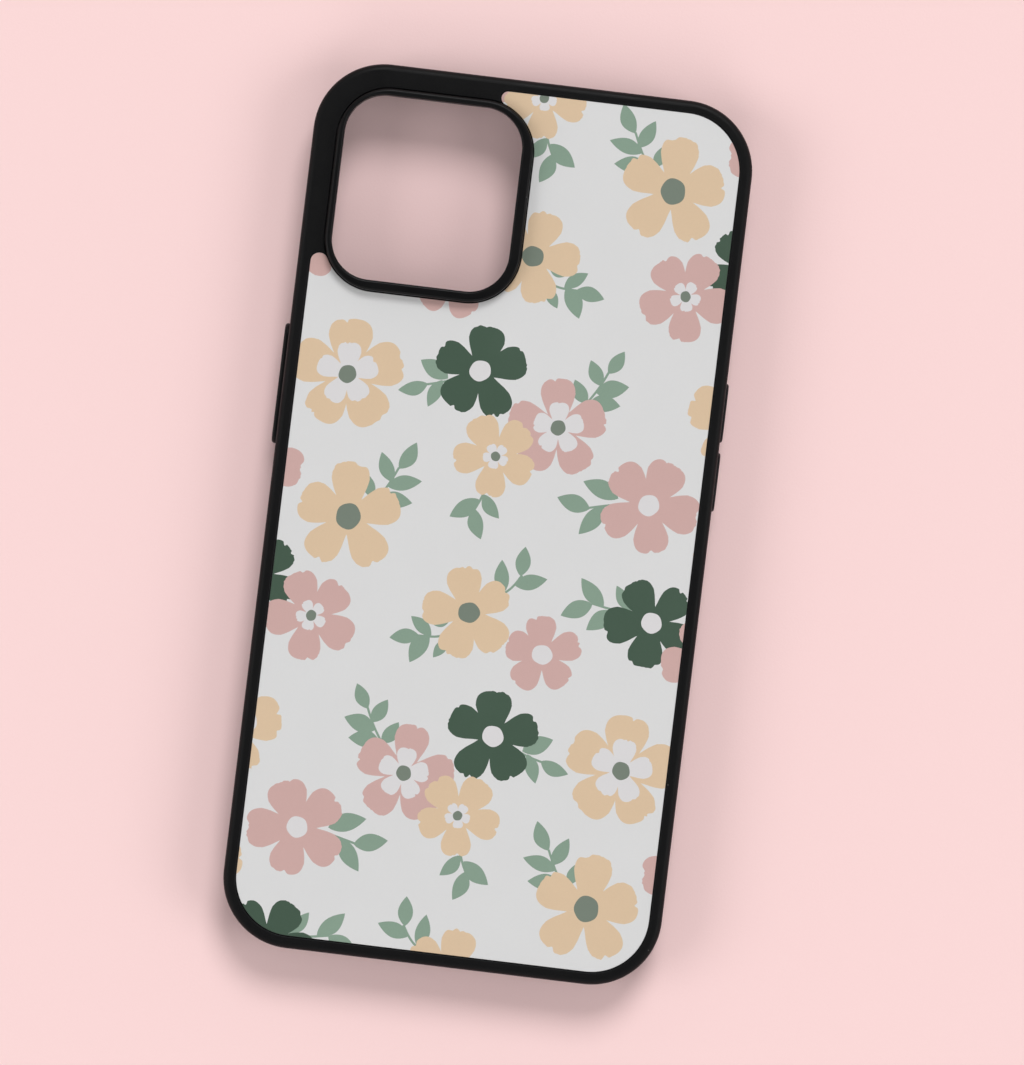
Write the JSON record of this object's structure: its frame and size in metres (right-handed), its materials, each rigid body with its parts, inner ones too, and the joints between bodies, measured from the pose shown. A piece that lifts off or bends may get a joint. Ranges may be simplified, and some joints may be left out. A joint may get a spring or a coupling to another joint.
{
  "type": "phone case",
  "caption": "Protective back case for a 6.7-inch phone: soft black bumper, printed floral metal insert, raised camera guard and sprung side button covers.",
  "frame": {"origin": "centre of the case's footprint without its button caps, on the plane that the front lip rests on", "axes": "+X to the right and +Y towards the camera end as the back is looked at, +Z out of the back"},
  "size_m": [0.0826, 0.164, 0.0129],
  "materials": {
    "bumper_rubber": "matt moulded thermoplastic rubber",
    "button_rubber": "matt moulded thermoplastic rubber",
    "panel_plastic": "fine-textured moulded polycarbonate",
    "guard_plastic": "satin moulded polycarbonate",
    "printed_insert": "satin coated sheet with a dye print of cream, pink and dark green flowers on light grey",
    "adhesive_film": "clear double-sided film"
  },
  "bodies": {
    "case_shell": {"bumper_frame": "bumper_rubber", "back_panel": "panel_plastic", "adhesive_sheet": "adhesive_film", "insert_plate": "printed_insert", "camera_guard": "guard_plastic", "power_button_web": "button_rubber", "volume_up_button_web": "button_rubber", "volume_down_button_web": "button_rubber"},
    "power_button": {"power_button_cap": "button_rubber"},
    "volume_up_button": {"volume_up_button_cap": "button_rubber"},
    "volume_down_button": {"volume_down_button_cap": "button_rubber"}
  },
  "joints": [
    {"name": "power_button_press", "type": "slide", "parent": "case_shell", "child": "power_button", "axis": [1, 0, 0], "range_m": [0, 0.0004], "stiffness_N_per_m": 2500, "deforming": ["power_button_web"]},
    {"name": "volume_up_button_press", "type": "slide", "parent": "case_shell", "child": "volume_up_button", "axis": [-1, 0, 0], "range_m": [0, 0.0004], "stiffness_N_per_m": 2500, "deforming": ["volume_up_button_web"]},
    {"name": "volume_down_button_press", "type": "slide", "parent": "case_shell", "child": "volume_down_button", "axis": [-1, 0, 0], "range_m": [0, 0.0004], "stiffness_N_per_m": 2500, "deforming": ["volume_down_button_web"]}
  ]
}
